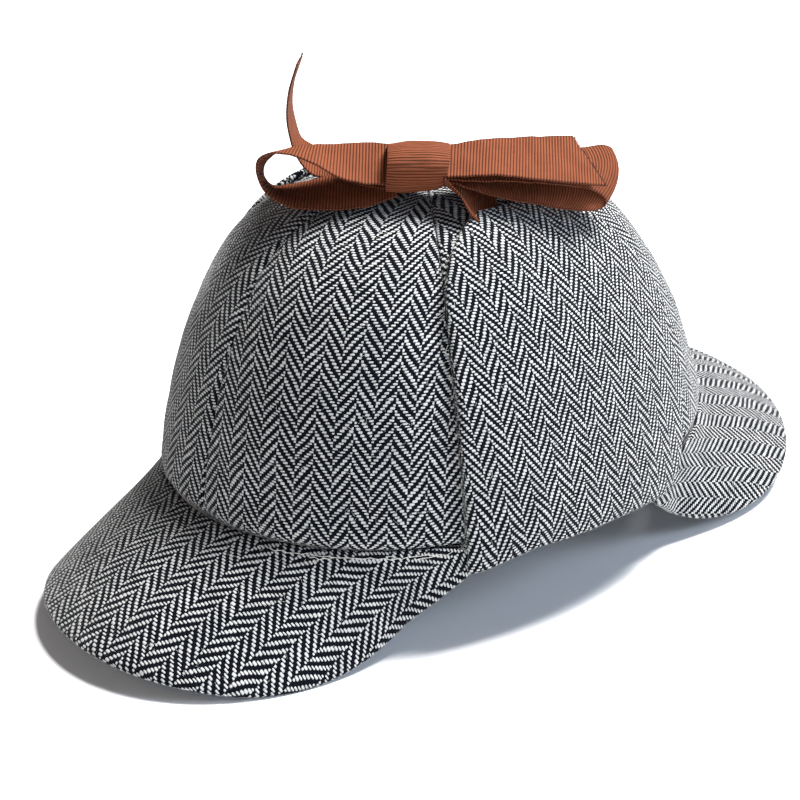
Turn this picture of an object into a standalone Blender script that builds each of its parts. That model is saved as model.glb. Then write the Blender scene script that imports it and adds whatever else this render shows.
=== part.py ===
"""Deerstalker hat in herringbone cloth, with its ear flaps tied up over the crown by a ribbon bow.

The hat stands on its two peaks on the plane z = 0. Its front faces -Y and the wearer's left is +X.
Angles round the hat, called turns, run from 0 at the front through 90 on the wearer's left to 180 at the rear.
"""
import math

import bmesh
import bpy
from mathutils import Vector

MM = 0.001

# Clearance that neighbouring pieces keep
GAP = 0.3 * MM

# Crown, measured outside at the head edge
CROWN_HALF_LENGTH = 105.0 * MM
CROWN_HALF_WIDTH = 80.0 * MM
CROWN_RISE = 97.0 * MM
CROWN_WALL = 2.0 * MM
CROWN_FORWARD_LEAN = 9.0 * MM
CROWN_PLAN_POWER = 3.9
CROWN_SIDE_POWER = 1.1
CROWN_HOLE_RADIUS = 1.2 * MM
PANEL_COUNT = 6
PANEL_SEAM_DIP = 0.9 * MM
PANEL_COLUMNS = 9
PANEL_ROWS = 13

# Head edge, level at the sides and arched over the brow and the nape
HEAD_EDGE_HEIGHT = 33.5 * MM
BROW_ARCH = 1.8 * MM
NAPE_ARCH = 6.5 * MM

# Peaks, each a stiffened crescent that droops more towards its ends
PEAK_THICKNESS = 3.0 * MM
PEAK_SEAM_GAP = 0.7 * MM
PEAK_COLUMNS = 33
PEAK_ROWS = 7
PEAK_END_SHARE = 0.965
PEAK_STEEPEST = 90.0
FRONT_PEAK = {"length": 56.0 * MM, "half_turn": 68.5, "droop": 29.0, "side_droop": 142.0, "roundness": 0.90,
              "crest": 3.2 * MM}
REAR_PEAK = {"length": 55.5 * MM, "half_turn": 68.5, "droop": 24.5, "side_droop": 115.0, "roundness": 0.45,
             "crest": 1.5 * MM}

# Ear flaps, folded up flat against the crown
FLAP_THICKNESS = 2.6 * MM
FLAP_REACH = 0.86
FLAP_HANG = 4.5 * MM
FLAP_COLUMNS = 13
FLAP_ROWS = 16
FLAP_OUTLINE = (
    # share of the reach, front edge turn, rear edge turn
    (0.00, 60.0, 110.0),
    (0.20, 60.0, 115.0),
    (0.40, 60.0, 121.0),
    (0.58, 60.0, 125.0),
    (0.72, 59.5, 124.5),
    (0.82, 60.5, 121.0),
    (0.90, 64.0, 115.0),
    (0.96, 70.0, 108.0),
    (1.00, 77.0, 100.0),
)

# Ribbon and bow
RIBBON_WIDTH = 20.0 * MM
RIBBON_THICKNESS = 1.0 * MM
RIBBON_STATIONS = 26
BOW_CENTRE_LEFT = 15.8 * MM
BOW_CENTRE_FORWARD = 25.8 * MM
BOW_HEADING = 41.0
BOW_CLEARANCE = 9.8 * MM
KNOT_LENGTH = 20.5 * MM
KNOT_DEPTH = 17.0 * MM
KNOT_HEIGHT = 13.6 * MM
KNOT_ROUNDING = 3.5 * MM
FRONT_HALF = {"reach": 50.5 * MM, "swing": 1.0 * MM, "fall": 0.5 * MM}
REAR_HALF = {"reach": 62.0 * MM, "swing": 14.0 * MM, "fall": 5.0 * MM}
REAR_TAIL_SLANT = 3.0 * MM

RIBBON_PIECES = {
    # share of the half's reach, then rise and approach as shares of the ribbon's width, then lean
    "front_loop": (
        "front",
        (
            (0.22, 0.00, 0.00, 62.0),
            (0.45, 0.04, 0.00, 72.0),
            (0.62, 0.15, 0.00, 88.0),
            (0.76, 0.22, 0.00, 98.0),
            (0.90, 0.20, 0.00, 106.0),
            (0.985, 0.05, 0.00, 110.0),
            (0.99, -0.20, 0.00, 110.0),
            (0.91, -0.41, 0.00, 106.0),
            (0.76, -0.47, 0.00, 100.0),
            (0.53, -0.44, 0.00, 88.0),
            (0.33, -0.37, 0.00, 76.0),
            (0.22, -0.29, 0.00, 68.0),
        ),
    ),
    "front_tail": (
        "front",
        (
            (0.22, -0.15, -0.12, 70.0),
            (0.40, -0.18, -0.45, 76.0),
            (0.58, -0.24, -0.90, 82.0),
            (0.70, -0.24, -1.06, 88.0),
            (0.77, -0.02, -1.08, 90.0),
            (0.80, 0.25, -1.08, 90.0),
            (0.82, 0.60, -1.08, 90.0),
            (0.80, 1.00, -1.08, 90.0),
            (0.75, 1.45, -1.08, 90.0),
        ),
    ),
    "rear_loop": (
        "rear",
        (
            (0.195, -0.05, 0.00, 66.0),
            (0.40, 0.00, 0.00, 68.0),
            (0.65, -0.05, 0.00, 66.0),
            (0.85, -0.06, 0.00, 60.0),
            (0.96, -0.12, 0.00, 58.0),
            (1.00, -0.23, 0.00, 58.0),
            (0.96, -0.33, 0.00, 58.0),
            (0.85, -0.39, 0.00, 61.0),
            (0.62, -0.34, 0.00, 70.0),
            (0.40, -0.28, 0.00, 70.0),
            (0.195, -0.22, 0.00, 66.0),
        ),
    ),
    "rear_tail": (
        "rear",
        (
            (0.195, 0.06, 0.02, 72.0),
            (0.36, 0.12, 0.02, 74.0),
            (0.60, 0.11, 0.02, 66.0),
            (0.84, 0.13, 0.03, 60.0),
        ),
    ),
}
TIE_START = 7.5 * MM
TIE_END_SHORT = 5.5 * MM
TIE_LIFT = 0.8 * MM
TIE_NARROWING = 0.75

CLOTH = (0.16, 0.17, 0.18, 1.0)
RIBBON = (0.36, 0.12, 0.05, 1.0)


def lerp(low, high, share):
    """Value a share of the way from low to high."""
    return low + (high - low) * share


def head_edge_height(turn):
    """Height of the head edge at a turn in radians."""
    forward = math.cos(turn)
    arch = BROW_ARCH if forward > 0.0 else NAPE_ARCH
    return HEAD_EDGE_HEIGHT + arch * forward * forward


def crown_point(turn, climb, proud=0.0):
    """Point on the crown's outside: climb 0 is the head edge and 1 the top, proud is an offset outwards."""
    lift = math.sin(climb * math.pi / 2.0) ** (2.0 / CROWN_SIDE_POWER)
    ring = math.cos(climb * math.pi / 2.0) ** (2.0 / CROWN_PLAN_POWER)
    top = HEAD_EDGE_HEIGHT + CROWN_RISE + proud
    low = head_edge_height(turn)
    return Vector((
        (CROWN_HALF_WIDTH + proud) * ring * math.sin(turn),
        -(CROWN_HALF_LENGTH + proud) * ring * math.cos(turn) - CROWN_FORWARD_LEAN * lift,
        lerp(low, top, lift),
    ))


def crown_height_at(across, along):
    """Height of the crown's outside above a point of the floor, found by repeated correction."""
    lift = 1.0
    for _ in range(8):
        ring_x = across / CROWN_HALF_WIDTH
        ring_y = (along + CROWN_FORWARD_LEAN * lift) / CROWN_HALF_LENGTH
        ring = min(math.hypot(ring_x, ring_y), 1.0)
        lift = (1.0 - ring ** CROWN_PLAN_POWER) ** (1.0 / CROWN_SIDE_POWER)
    return HEAD_EDGE_HEIGHT + CROWN_RISE * lift


def outward(turn):
    """Level direction square to the head edge, pointing away from the head."""
    return Vector((math.sin(turn) / CROWN_HALF_WIDTH, -math.cos(turn) / CROWN_HALF_LENGTH, 0.0)).normalized()


def smooth_table(rows, share):
    """Read a table at a share of its run, on a smooth curve through its rows."""
    place = share * (len(rows) - 1)
    index = min(int(place), len(rows) - 2)
    step = place - index
    before = rows[max(index - 1, 0)]
    start = rows[index]
    end = rows[index + 1]
    after = rows[min(index + 2, len(rows) - 1)]
    values = []
    for a, b, c, d in zip(before, start, end, after):
        bend = (c - a) * step + (2 * a - 5 * b + 4 * c - d) * step ** 2 + (3 * b - a - 3 * c + d) * step ** 3
        values.append(b + 0.5 * bend)
    return values


def read_outline(reach_share):
    """Front and rear turn of a flap's outline at a share of its reach."""
    for low, high in zip(FLAP_OUTLINE, FLAP_OUTLINE[1:]):
        if reach_share <= high[0]:
            share = (reach_share - low[0]) / (high[0] - low[0])
            return lerp(low[1], high[1], share), lerp(low[2], high[2], share)
    return FLAP_OUTLINE[-1][1:]


def make_material(name, colour, roughness):
    """Dull dyed fibre."""
    material = bpy.data.materials.new(name)
    material.use_nodes = True
    shader = material.node_tree.nodes["Principled BSDF"]
    shader.inputs["Base Color"].default_value = colour
    shader.inputs["Roughness"].default_value = roughness
    shader.inputs["Metallic"].default_value = 0.0
    material.diffuse_color = colour
    return material


def add_object(name, bm, material, collection, parent):
    """Put a finished bmesh in the collection as one smooth named object."""
    mesh = bpy.data.meshes.new(name)
    bm.to_mesh(mesh)
    bm.free()
    mesh.shade_smooth()
    mesh.set_sharp_from_angle(angle=math.radians(50.0))
    mesh.materials.append(material)
    obj = bpy.data.objects.new(name, mesh)
    collection.objects.link(obj)
    obj.parent = parent
    return obj


def add_sheet(name, rows, thickness, material, collection, parent, middle=False):
    """Surface through rows of points, given its thickness on the inner side or, if middle, on both."""
    bm = bmesh.new()
    grid = [[bm.verts.new(point) for point in row] for row in rows]
    for lower, upper in zip(grid, grid[1:]):
        for a, b, c, d in zip(lower, lower[1:], upper[1:], upper):
            bm.faces.new((a, b, c, d))
    obj = add_object(name, bm, material, collection, parent)
    wall = obj.modifiers.new("wall", "SOLIDIFY")
    wall.thickness = thickness
    wall.offset = 0.0 if middle else -1.0
    wall.use_even_offset = middle
    return obj


def crown_panel_rows(index):
    """Rows of one gore, which narrows to the crown's centre and sinks a little at its two seams."""
    width = 2.0 * math.pi / PANEL_COUNT
    last_ring = CROWN_HOLE_RADIUS / CROWN_HALF_WIDTH
    last_climb = math.acos(last_ring ** (CROWN_PLAN_POWER / 2.0)) * 2.0 / math.pi
    rows = []
    for row in range(PANEL_ROWS + 1):
        climb = last_climb * row / PANEL_ROWS
        radius = CROWN_HALF_WIDTH * math.cos(climb * math.pi / 2.0) ** (2.0 / CROWN_PLAN_POWER)
        margin = math.asin(min(0.5 * GAP / radius, 0.4))
        points = []
        for column in range(PANEL_COLUMNS + 1):
            share = column / PANEL_COLUMNS
            turn = width * index + lerp(margin, width - margin, share)
            dip = PANEL_SEAM_DIP * (1.0 - math.sin(math.pi * share)) ** 3 * min(1.0, radius / RIBBON_WIDTH)
            points.append(crown_point(turn, climb, -dip))
        rows.append(points)
    return rows


def peak_rows(shape, rear):
    """Rows of a peak, from its seam under the head edge out to its free edge."""
    limit = PEAK_END_SHARE
    rows = []
    for row in range(PEAK_ROWS + 1):
        out = row / PEAK_ROWS
        points = []
        for column in range(PEAK_COLUMNS + 1):
            side = lerp(-limit, limit, column / PEAK_COLUMNS)
            turn = math.radians(shape["half_turn"] * side)
            fullness = math.cos(side * math.pi / 2.0)
            length = shape["length"] * fullness ** shape["roundness"]
            droop = min(lerp(shape["droop"], shape["side_droop"], side * side), PEAK_STEEPEST)
            droop = math.radians(droop)
            if rear:
                turn = math.pi - turn
            start = crown_point(turn, 0.0)
            start.z -= PEAK_SEAM_GAP
            point = start + outward(turn) * (length * out * math.cos(droop))
            point.z -= length * out * math.sin(droop)
            point.z += shape["crest"] * 4.0 * out * (1.0 - out) * fullness
            points.append(point)
        rows.append(points[::-1] if rear else points)
    return rows[::-1]


def flap_rows():
    """Rows of the left ear flap, from its fold below the head edge up to its tip."""
    proud = GAP + FLAP_THICKNESS
    rows = []
    for row in range(-1, FLAP_ROWS + 1):
        share = max(row, 0) / FLAP_ROWS
        front, rear = read_outline(share)
        points = []
        for column in range(FLAP_COLUMNS + 1):
            turn = math.radians(lerp(front, rear, column / FLAP_COLUMNS))
            point = crown_point(turn, FLAP_REACH * share, proud)
            if row < 0:
                point.z -= FLAP_HANG
            points.append(point)
        rows.append(points)
    return rows


def mirrored(rows):
    """The same rows on the wearer's other side."""
    return [[Vector((-point.x, point.y, point.z)) for point in reversed(row)] for row in rows]


def bow_centre():
    """Middle of the knot, above the crown."""
    return Vector((
        BOW_CENTRE_LEFT,
        -BOW_CENTRE_FORWARD,
        crown_height_at(BOW_CENTRE_LEFT, -BOW_CENTRE_FORWARD) + BOW_CLEARANCE,
    ))


def bow_line(half, out):
    """Place and facing of a half of the bow: it runs out from the knot, swings back and falls with the crown."""
    sizes = FRONT_HALF if half == "front" else REAR_HALF
    heading = math.radians(BOW_HEADING)
    face = Vector((math.cos(heading), -math.sin(heading), 0.0))
    run = Vector((math.sin(heading), math.cos(heading), 0.0))
    if half == "front":
        run.negate()
    place = bow_centre() + run * (sizes["reach"] * out) - face * (sizes["swing"] * out * out)
    place.z -= sizes["fall"] * out * out
    turned = (run * (2.0 * sizes["swing"] * out) + face * sizes["reach"]).normalized()
    return place, run, turned


def ribbon_rows(half, table, slant=0.0):
    """Lines of points along a ribbon: its near edge, middle and far edge. A slant shifts the cut end's edges."""
    rows = []
    for edge in (-0.5, 0.0, 0.5):
        points = []
        for station in range(RIBBON_STATIONS + 1):
            share = station / RIBBON_STATIONS
            out, rise, approach, lean = smooth_table(table, share)
            point, run, face = bow_line(half, out)
            lean = math.radians(lean)
            across = Vector((0.0, 0.0, math.cos(lean))) - face * math.sin(lean)
            point += face * (RIBBON_WIDTH * approach) + across * (RIBBON_WIDTH * edge) - run * (slant * edge * share)
            point.z += RIBBON_WIDTH * rise
            points.append(point)
        rows.append(points)
    return rows


def tie_rows(side):
    """Ribbon sewn to a flap's tip, lying on the crown as far as the knot. Side is 1 for left, -1 for right."""
    middle_turn = math.radians(0.5 * (FLAP_OUTLINE[-1][1] + FLAP_OUTLINE[-1][2]))
    tip = crown_point(middle_turn, FLAP_REACH)
    tip.x *= side
    knot = bow_centre()
    ahead = Vector((knot.x - tip.x, knot.y - tip.y, 0.0))
    distance = ahead.length
    ahead.normalize()
    across = Vector((-ahead.y, ahead.x, 0.0))
    steps = RIBBON_STATIONS // 3
    rows = []
    for edge in (-0.5, 0.0, 0.5):
        points = []
        for station in range(steps + 1):
            share = station / steps
            width = RIBBON_WIDTH * lerp(1.0, TIE_NARROWING, share)
            point = tip + ahead * lerp(TIE_START, distance - TIE_END_SHORT, share) + across * (width * edge)
            point.z = crown_height_at(point.x, point.y) + TIE_LIFT + RIBBON_THICKNESS
            points.append(point)
        rows.append(points)
    return rows


def add_knot(material, collection, parent):
    """Ribbon wound once round the bow's middle, as a rounded block that faces square to the bow."""
    bm = bmesh.new()
    bmesh.ops.create_cube(bm, size=1.0)
    bmesh.ops.scale(bm, vec=(KNOT_DEPTH, KNOT_LENGTH, KNOT_HEIGHT), verts=bm.verts)
    long_edges = [edge for edge in bm.edges if abs(edge.verts[0].co.y - edge.verts[1].co.y) > KNOT_LENGTH / 2.0]
    bmesh.ops.bevel(bm, geom=long_edges, offset=KNOT_ROUNDING, segments=4, profile=0.5, affect="EDGES")
    knot = add_object("bow_knot", bm, material, collection, parent)
    knot.location = bow_centre()
    knot.location.z += KNOT_HEIGHT / 2.0 + 2.0 * (GAP + RIBBON_THICKNESS) - BOW_CLEARANCE
    knot.rotation_euler = (0.0, 0.0, -math.radians(BOW_HEADING))
    return knot


def stand_on_origin(parent, collection):
    """Move everything so that the middle of its lowest plane is the origin."""
    bpy.context.view_layer.update()
    graph = bpy.context.evaluated_depsgraph_get()
    points = []
    for obj in collection.objects:
        if obj.type == "MESH":
            solid = obj.evaluated_get(graph)
            points.extend(solid.matrix_world @ vertex.co for vertex in solid.data.vertices)
    lows = [min(point[axis] for point in points) for axis in range(3)]
    highs = [max(point[axis] for point in points) for axis in range(3)]
    parent.location = (-(lows[0] + highs[0]) / 2.0, -(lows[1] + highs[1]) / 2.0, -lows[2])


def main():
    for obj in list(bpy.data.objects):
        bpy.data.objects.remove(obj)
    collection = bpy.data.collections.new("deerstalker_hat")
    bpy.context.scene.collection.children.link(collection)
    parent = bpy.data.objects.new("hat_origin", None)
    collection.objects.link(parent)
    cloth = make_material("herringbone_cloth", CLOTH, 0.9)
    grosgrain = make_material("grosgrain_ribbon", RIBBON, 0.6)

    for index in range(PANEL_COUNT):
        name = f"crown_panel_{index + 1}"
        add_sheet(name, crown_panel_rows(index), CROWN_WALL, cloth, collection, parent)
    add_sheet("front_peak", peak_rows(FRONT_PEAK, False), PEAK_THICKNESS, cloth, collection, parent)
    add_sheet("rear_peak", peak_rows(REAR_PEAK, True), PEAK_THICKNESS, cloth, collection, parent)
    add_sheet("left_ear_flap", flap_rows(), FLAP_THICKNESS, cloth, collection, parent)
    add_sheet("right_ear_flap", mirrored(flap_rows()), FLAP_THICKNESS, cloth, collection, parent)

    add_knot(grosgrain, collection, parent)
    for name, (half, table) in RIBBON_PIECES.items():
        slant = REAR_TAIL_SLANT if name == "rear_tail" else 0.0
        rows = ribbon_rows(half, table, slant)
        add_sheet(name, rows, RIBBON_THICKNESS, grosgrain, collection, parent, middle=True)
    add_sheet("left_tie", tie_rows(1), RIBBON_THICKNESS, grosgrain, collection, parent)
    add_sheet("right_tie", tie_rows(-1), RIBBON_THICKNESS, grosgrain, collection, parent)
    stand_on_origin(parent, collection)


main()
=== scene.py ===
"""Deerstalker hat in herringbone cloth, with its ear flaps tied up by a grosgrain bow, on a pale floor.

The hat's front faces -Y and the wearer's left is +X. Angles round the hat, called turns, run from 0 at the
front through 90 on the wearer's left to 180 at the rear. A climb runs from 0 at the head edge to 1 at the
crown's top.
"""
import bisect
import math
import random

import bpy
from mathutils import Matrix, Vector, noise


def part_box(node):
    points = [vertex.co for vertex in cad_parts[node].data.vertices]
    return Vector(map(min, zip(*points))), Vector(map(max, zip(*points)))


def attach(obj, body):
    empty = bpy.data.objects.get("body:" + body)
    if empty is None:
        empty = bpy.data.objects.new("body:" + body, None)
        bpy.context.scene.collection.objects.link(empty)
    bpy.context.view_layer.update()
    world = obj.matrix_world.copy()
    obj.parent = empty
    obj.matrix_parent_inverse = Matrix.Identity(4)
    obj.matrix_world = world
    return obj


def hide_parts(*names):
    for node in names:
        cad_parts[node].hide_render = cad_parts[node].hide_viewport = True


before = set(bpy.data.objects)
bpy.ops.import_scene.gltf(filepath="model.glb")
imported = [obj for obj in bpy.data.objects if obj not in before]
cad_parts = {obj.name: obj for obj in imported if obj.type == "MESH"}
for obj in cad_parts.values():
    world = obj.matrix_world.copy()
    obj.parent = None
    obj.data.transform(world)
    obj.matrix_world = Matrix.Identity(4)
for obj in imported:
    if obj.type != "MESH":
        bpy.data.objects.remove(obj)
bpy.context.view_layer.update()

bl_info = {
    "name": "Deerstalker Hat",
    "version": (1, 0, 0),
    "blender": (4, 5, 0),
    "location": "View3D > Sidebar > Hat",
    "description": "Dresses a deerstalker hat in herringbone cloth and grosgrain ribbon, and lights it",
    "category": "Object",
}

MM = 0.001

# Six gores make the crown
PANEL_COUNT = 6
PANEL_CELLS = (64, 84)
CROWN_PLAN_POWER = 3.9
CROWN_SIDE_POWER = 1.1
APEX_RADIUS = 0.5 * MM
BROW_ARCH = 1.8 * MM
NAPE_ARCH = 6.5 * MM

# Distances from dent to dent of the soft unevenness, on the crown, the peaks and the flaps
DENT_WAVE = 26.0 * MM
FINE_DENT_WAVE = 9.0 * MM
FINE_DENT_SHARE = 0.3
PEAK_DENT_WAVE = 30.0 * MM
FLAP_DENT_WAVE = 34.0 * MM

# Peaks: stiffened crescents that droop more towards their ends
PEAK_CELLS = (120, 44)
PEAK_END_SHARE = 0.965
PEAK_STEEPEST = 90.0
PEAK_SEAM_GAP = 0.7 * MM
PEAK_TUCK = 2.2 * MM
PEAK_OVERLAP = 0.3 * MM
PEAK_EASE = 6.0 * MM
# Twist bends one side down more than the other, and skew makes that side shorter, as the worn peaks are.
# The lower the taper, the longer the ends' points. Stretch multiplies distances in the cloth, across and
# along: the cloth is pulled over the front peak, which spreads its threads.
PEAKS = {
    "front_peak": {
        "length": 56.0 * MM, "half_turn": 68.5, "droop": 28.2, "side_droop": 135.0, "roundness": 0.90,
        "crest": 3.2 * MM, "twist": 8.7, "skew": 0.08, "taper": 80.0, "stretch": (0.90, 0.97),
    },
    "rear_peak": {
        "length": 55.5 * MM, "half_turn": 84.0, "droop": 24.5, "side_droop": 138.0, "roundness": 0.76,
        "crest": 3.2 * MM, "twist": 0.0, "skew": 0.0, "taper": 8.0, "stretch": (1.12, 1.0),
    },
}
# The cloth is eased into the flaps, which brings its threads closer together
FLAP_EASE = 1.17

# Fullness of the crown's quarters: middle turn, half spread, outward swell, lowest and highest full climb
SWELLS = (
    (44.0, 27.0, 2.4 * MM, 0.16, 0.62),
    (137.0, 30.0, 1.8 * MM, 0.42, 0.78),
)

# Ear flaps, folded up flat against the crown
FLAP_CELLS = (64, 84)
FLAP_REACH = 0.86
FLAP_MIDDLE_TURN = 90.0
FLAP_OUTLINE = (
    # share of the reach, front edge turn, rear edge turn
    (0.00, 60.0, 110.0),
    (0.20, 60.0, 115.0),
    (0.40, 60.0, 121.0),
    (0.58, 60.0, 125.0),
    (0.72, 59.5, 124.5),
    (0.82, 60.5, 121.0),
    (0.90, 64.0, 115.0),
    (0.96, 70.0, 108.0),
    (1.00, 77.0, 100.0),
)

# Bow: each half runs out from the knot, swings back and falls with the crown
BOW_HALVES = {
    "front": {"reach": 50.5 * MM, "swing": 1.0 * MM, "fall": 0.5 * MM},
    "rear": {"reach": 62.0 * MM, "swing": 14.0 * MM, "fall": 5.0 * MM},
}
BOW_HEADING = 41.0
RIBBON_CELLS = (16, 150)
RIBBON_PIECES = {
    # share of the half's reach, then rise and approach as shares of the ribbon's width, then lean
    "front_loop": ("front", (
        (0.13, -0.02, 0.00, 62.0),
        (0.22, 0.00, 0.00, 62.0),
        (0.45, 0.04, 0.00, 72.0),
        (0.62, 0.15, 0.00, 88.0),
        (0.76, 0.22, 0.00, 98.0),
        (0.90, 0.19, 0.00, 106.0),
        (0.975, 0.04, 0.00, 110.0),
        (0.98, -0.20, 0.00, 108.0),
        (0.91, -0.44, 0.00, 98.0),
        (0.76, -0.50, 0.00, 84.0),
        (0.53, -0.46, 0.00, 74.0),
        (0.33, -0.39, 0.00, 70.0),
        (0.22, -0.31, 0.00, 68.0),
        (0.13, -0.24, 0.00, 66.0),
    )),
    "front_tail": ("front", (
        (0.13, -0.13, -0.04, 68.0),
        (0.22, -0.15, -0.12, 70.0),
        (0.40, -0.18, -0.45, 74.0),
        (0.58, -0.24, -0.90, 74.0),
        (0.70, -0.22, -1.06, 80.0),
        (0.775, -0.02, -1.08, 88.0),
        (0.81, 0.25, -1.08, 88.0),
        (0.83, 0.60, -1.08, 90.0),
        (0.81, 1.00, -1.08, 94.0),
        (0.755, 1.40, -1.08, 96.0),
    )),
    "rear_loop": ("rear", (
        (0.12, -0.04, 0.00, 78.0),
        (0.195, -0.04, 0.00, 77.0),
        (0.40, 0.02, -0.02, 70.0),
        (0.65, -0.01, -0.05, 68.0),
        (0.85, -0.05, -0.05, 66.0),
        (0.955, -0.06, -0.03, 54.0),
        (1.00, -0.16, 0.00, 47.0),
        (0.965, -0.29, 0.02, 48.0),
        (0.86, -0.35, 0.02, 54.0),
        (0.62, -0.33, 0.01, 66.0),
        (0.40, -0.27, 0.00, 73.0),
        (0.195, -0.16, 0.00, 83.0),
        (0.12, -0.14, 0.00, 84.0),
    )),
    "rear_tail": ("rear", (
        (0.12, 0.04, 0.01, 72.0),
        (0.195, 0.06, 0.02, 72.0),
        (0.36, 0.12, 0.04, 72.0),
        (0.60, 0.11, 0.06, 62.0),
        (0.875, 0.10, 0.08, 52.0),
    )),
}
# The ribbons gather, narrower and folded, between two shares of a half's reach, and ripple all along
GATHER_FROM = 0.12
GATHER_TO = 0.34
GATHER_SHARE = 0.14
GATHER_FOLDS = 0.6 * MM
RIPPLE = 0.35 * MM
RIBBON_SKEWS = {
    # how far an end's lower edge lies past its upper one, its middle past its edges, and the ribs' lean
    "front_loop": (0.0, 0.0, 0.0),
    "front_tail": (0.0, 0.0, 0.0),
    "rear_loop": (-9.0 * MM, 3.0 * MM, 0.0),
    "rear_tail": (4.0 * MM, 0.0, 13.0 * MM),
}

# The knot: a squarish turn of ribbon that leans back, narrower below
KNOT_CELLS = (24, 120)
KNOT_SQUARENESS = 2.0 / 2.9
KNOT_TILT = 8.0
KNOT_DROP = 1.6 * MM
KNOT_PINCH = 0.10
KNOT_SWELL = 0.35 * MM
KNOT_LEAN = 0.9 * MM
KNOT_SHIFT = 0.6 * MM

# Ties: sewn on ahead of a flap's tip, lying just off the crown; the left one swells towards the bow's face
TIE_STEPS = 60
TIE_START = 0.5 * MM
TIE_LIFT = 1.0 * MM
TIE_SWELLS = {1: 2.6 * MM, -1: 0.0}
TIE_GATHERS = 0.9 * MM
# Rear and front edge of each tie where it enters the knot: along the bow, towards its face, and up
TIE_ENDS = {
    1: ((8.4 * MM, 0.0 * MM, -6.0 * MM), (8.0 * MM, 9.0 * MM, -2.8 * MM)),
    -1: ((5.0 * MM, -8.2 * MM, -3.5 * MM), (-5.0 * MM, -8.2 * MM, -3.5 * MM)),
}

# Round rims of every sheet
RIM_STEPS = 4
NARROWEST_RIM_SHARE = 0.22
WELD_DISTANCE = 0.001 * MM

# Loose fibres: radius of a hair, of a frayed thread and of a ribbon's thread, and the counts of hairs
HAIR_STEPS = 5
HAIR_RADIUS = 0.03 * MM
SEAM_THREAD_RADIUS = 0.12 * MM
END_THREAD_RADIUS = 0.07 * MM
PALE_HAIRS_ON_PIECE = 260
DARK_HAIRS_ON_PIECE = 220
HAIRS_ON_EDGES = 90
END_THREADS = {"front_tail": 120, "rear_tail": 200}
FRAYED_THREADS = (
    # first and last turn in degrees, and distance out from the seam
    (15.0, 22.0, 1.6 * MM),
    (21.0, 28.0, 2.0 * MM),
    (27.0, 41.0, 1.7 * MM),
    (30.0, 34.0, 2.4 * MM),
    (39.0, 47.0, 1.8 * MM),
    (45.0, 57.0, 1.5 * MM),
    (50.0, 55.0, 2.1 * MM),
    (-12.0, -2.0, 1.5 * MM),
    (2.0, 9.0, 1.8 * MM),
)

# Weave: warps in one stripe of the herringbone and threads in one repeat of the twill
WARPS_IN_STRIPE = 8.0
TWILL_REPEAT = 4.0

# What the pieces of each material are called, and their slot
LOOKS = {
    "herringbone_wool": ("cloth", "herringbone_cloth"),
    "grosgrain_rayon": ("ribbon", "grosgrain_ribbon"),
}

# Studio: the camera's aim, to its right, up its picture and above the crown's foot
AIM_RIGHT = -14.5 * MM
AIM_UP = -30.8 * MM
AIM_HEIGHT = 78.5 * MM
SENSOR_WIDTH = 36.0
FLOOR_SIZE = 30.0
AIR_STRENGTH = 0.09
LAMPS = (
    # name, right, up and back of the aim in metres, size, power, colour
    ("left_softbox", (-1.1, 0.6, 0.9), 0.5, 1.2, "#FFCC90"),
    ("right_softbox", (1.15, 0.5, 0.55), 0.5, 8.0, "#D6E8FF"),
    ("top_softbox", (0.5, 1.2, 0.30), 0.45, 55.0, "#FFFFFF"),
    ("front_card", (0.1, -0.3, 1.25), 0.7, 6.5, "#E2EEFF"),
)


def linear(code):
    """Scene-linear RGBA of an sRGB hex colour."""
    parts = [int(code[place:place + 2], 16) / 255.0 for place in (1, 3, 5)]
    bright = [((part + 0.055) / 1.055) ** 2.4 for part in parts]
    return [part / 12.92 if part <= 0.04045 else other for part, other in zip(parts, bright)] + [1.0]


def length_property(name, description, default):
    """Length that a user may change."""
    return bpy.props.FloatProperty(
        name=name, description=description, default=default, min=0.0, unit="LENGTH")


def colour_property(name, description, code):
    """Colour that a user may change."""
    return bpy.props.FloatVectorProperty(
        name=name, description=description, default=linear(code), size=4, min=0.0, max=1.0, subtype="COLOR")


class CrownSettings(bpy.types.PropertyGroup):
    """Crown, measured outside at the head edge"""
    half_length: length_property("Half length", "Half of the crown from brow to nape", 105.0 * MM)
    half_width: length_property("Half width", "Half of the crown from side to side", 80.0 * MM)
    rise: length_property("Rise", "Height of the top above the head edge", 97.0 * MM)
    forward_lean: length_property("Forward lean", "How far the top stands ahead of the middle", 9.0 * MM)
    edge_height: length_property("Edge height", "Height of the head edge at the sides", 33.5 * MM)
    wall: length_property("Wall", "Thickness of the cloth wall", 2.0 * MM)
    seam_dip: length_property("Seam dip", "How far the gores sink at their seams", 0.8 * MM)
    hem_tuck: length_property("Hem tuck", "How far the cloth draws in at the head edge", 1.7 * MM)
    hem_height: length_property("Hem height", "Height over which the cloth draws in", 4.0 * MM)
    unevenness: length_property("Unevenness", "Depth of the soft dents in the cloth", 0.9 * MM)


class BrimSettings(bpy.types.PropertyGroup):
    """Peaks and ear flaps"""
    peak_thickness: length_property("Peak thickness", "Stiffener between two layers of cloth", 3.0 * MM)
    flap_thickness: length_property("Flap thickness", "Two layers of cloth", 2.6 * MM)
    flap_hang: length_property("Flap hang", "How far the fold hangs below the head edge", 4.5 * MM)
    corner_hang: length_property("Corner hang", "How much lower the fold's front end hangs", 4.6 * MM)
    rear_corner_hang: length_property("Rear corner hang", "How much lower its rear end hangs", 2.2 * MM)
    flap_gap: length_property("Flap gap", "Air between a flap and the crown", 0.3 * MM)


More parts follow.
